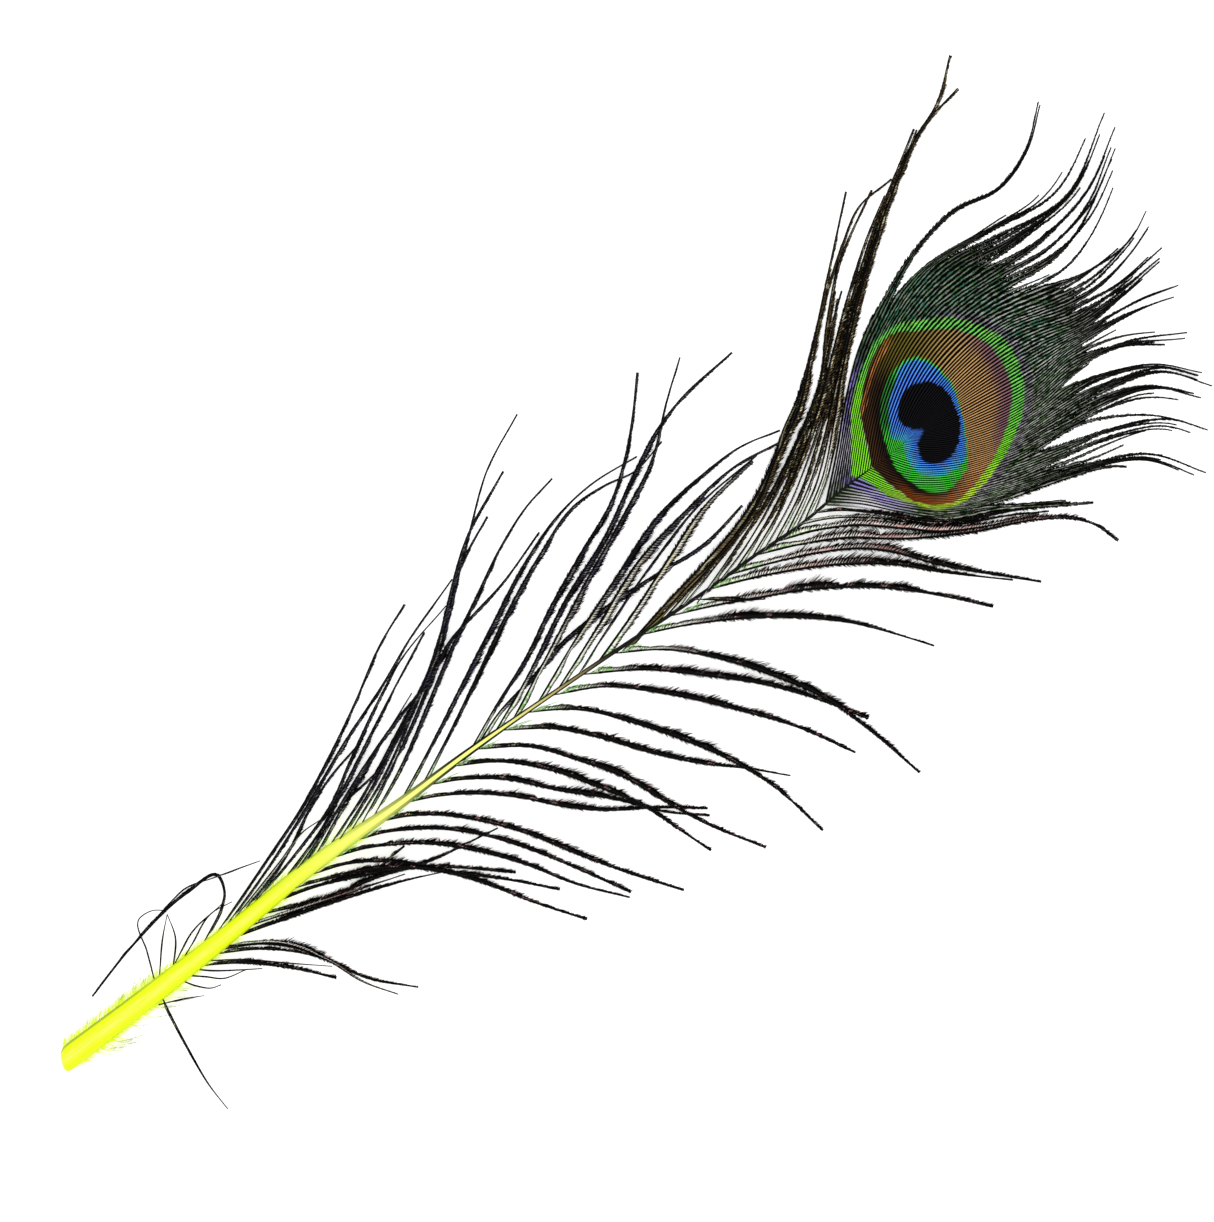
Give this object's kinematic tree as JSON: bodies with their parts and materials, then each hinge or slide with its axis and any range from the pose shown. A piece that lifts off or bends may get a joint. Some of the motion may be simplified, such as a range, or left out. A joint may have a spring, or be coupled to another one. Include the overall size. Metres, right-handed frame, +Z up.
{
  "type": "peacock feather",
  "caption": "Peacock tail feather lying flat: lime quill, loose dark barbs on both sides and a blue, bronze and green eye at the tip.",
  "frame": {"origin": "on the surface the feather lies on, under the middle of the feather", "axes": "+X along the feather from the quill's cut end to the tip, +Y to the feather's left seen from above, +Z up"},
  "size_m": [0.2813, 0.1119, 0.0088],
  "materials": {
    "quill": "satin",
    "barb": "satin",
    "brown_barb": "satin",
    "eye": "satin",
    "down": "matte"
  },
  "bodies": {
    "root": {"shaft": "quill", "eye_vane": "eye", "right_barb_01": "barb", "right_barb_02": "barb", "right_barb_03": "barb", "right_barb_04": "barb", "right_barb_05": "barb", "right_barb_06": "barb", "right_barb_07": "barb", "right_barb_08": "barb", "right_barb_09": "barb", "right_barb_10": "barb", "right_barb_11": "barb", "right_barb_12": "barb", "right_barb_13": "barb", "right_barb_14": "barb", "right_barb_15": "barb", "right_barb_16": "barb", "right_barb_17": "barb", "right_barb_18": "barb", "right_barb_19": "barb", "right_barb_20": "barb", "right_barb_21": "barb", "right_barb_22": "barb", "right_barb_23": "barb", "right_barb_24": "barb", "right_barb_25": "barb", "left_barb_01": "barb", "left_barb_02": "barb", "left_barb_03": "barb", "left_barb_04": "barb", "left_barb_05": "barb", "left_barb_06": "barb", "left_barb_07": "barb", "left_barb_08": "barb", "left_barb_09": "barb", "left_barb_10": "barb", "left_barb_11": "barb", "left_barb_12": "barb", "left_barb_13": "barb", "left_barb_14": "barb", "left_barb_15": "barb", "left_barb_16": "barb", "left_barb_17": "barb", "left_barb_18": "barb", "left_barb_19": "barb", "left_barb_20": "barb", "crest_barb_01": "brown_barb", "crest_barb_02": "barb", "crest_barb_03": "barb", "crest_barb_04": "barb", "crest_barb_05": "barb", "crest_barb_06": "barb", "crest_barb_07": "barb", "crest_barb_08": "barb", "stray_barb_01": "barb", "stray_barb_02": "barb", "left_down": "down", "right_down": "down"}
  },
  "joints": []
}
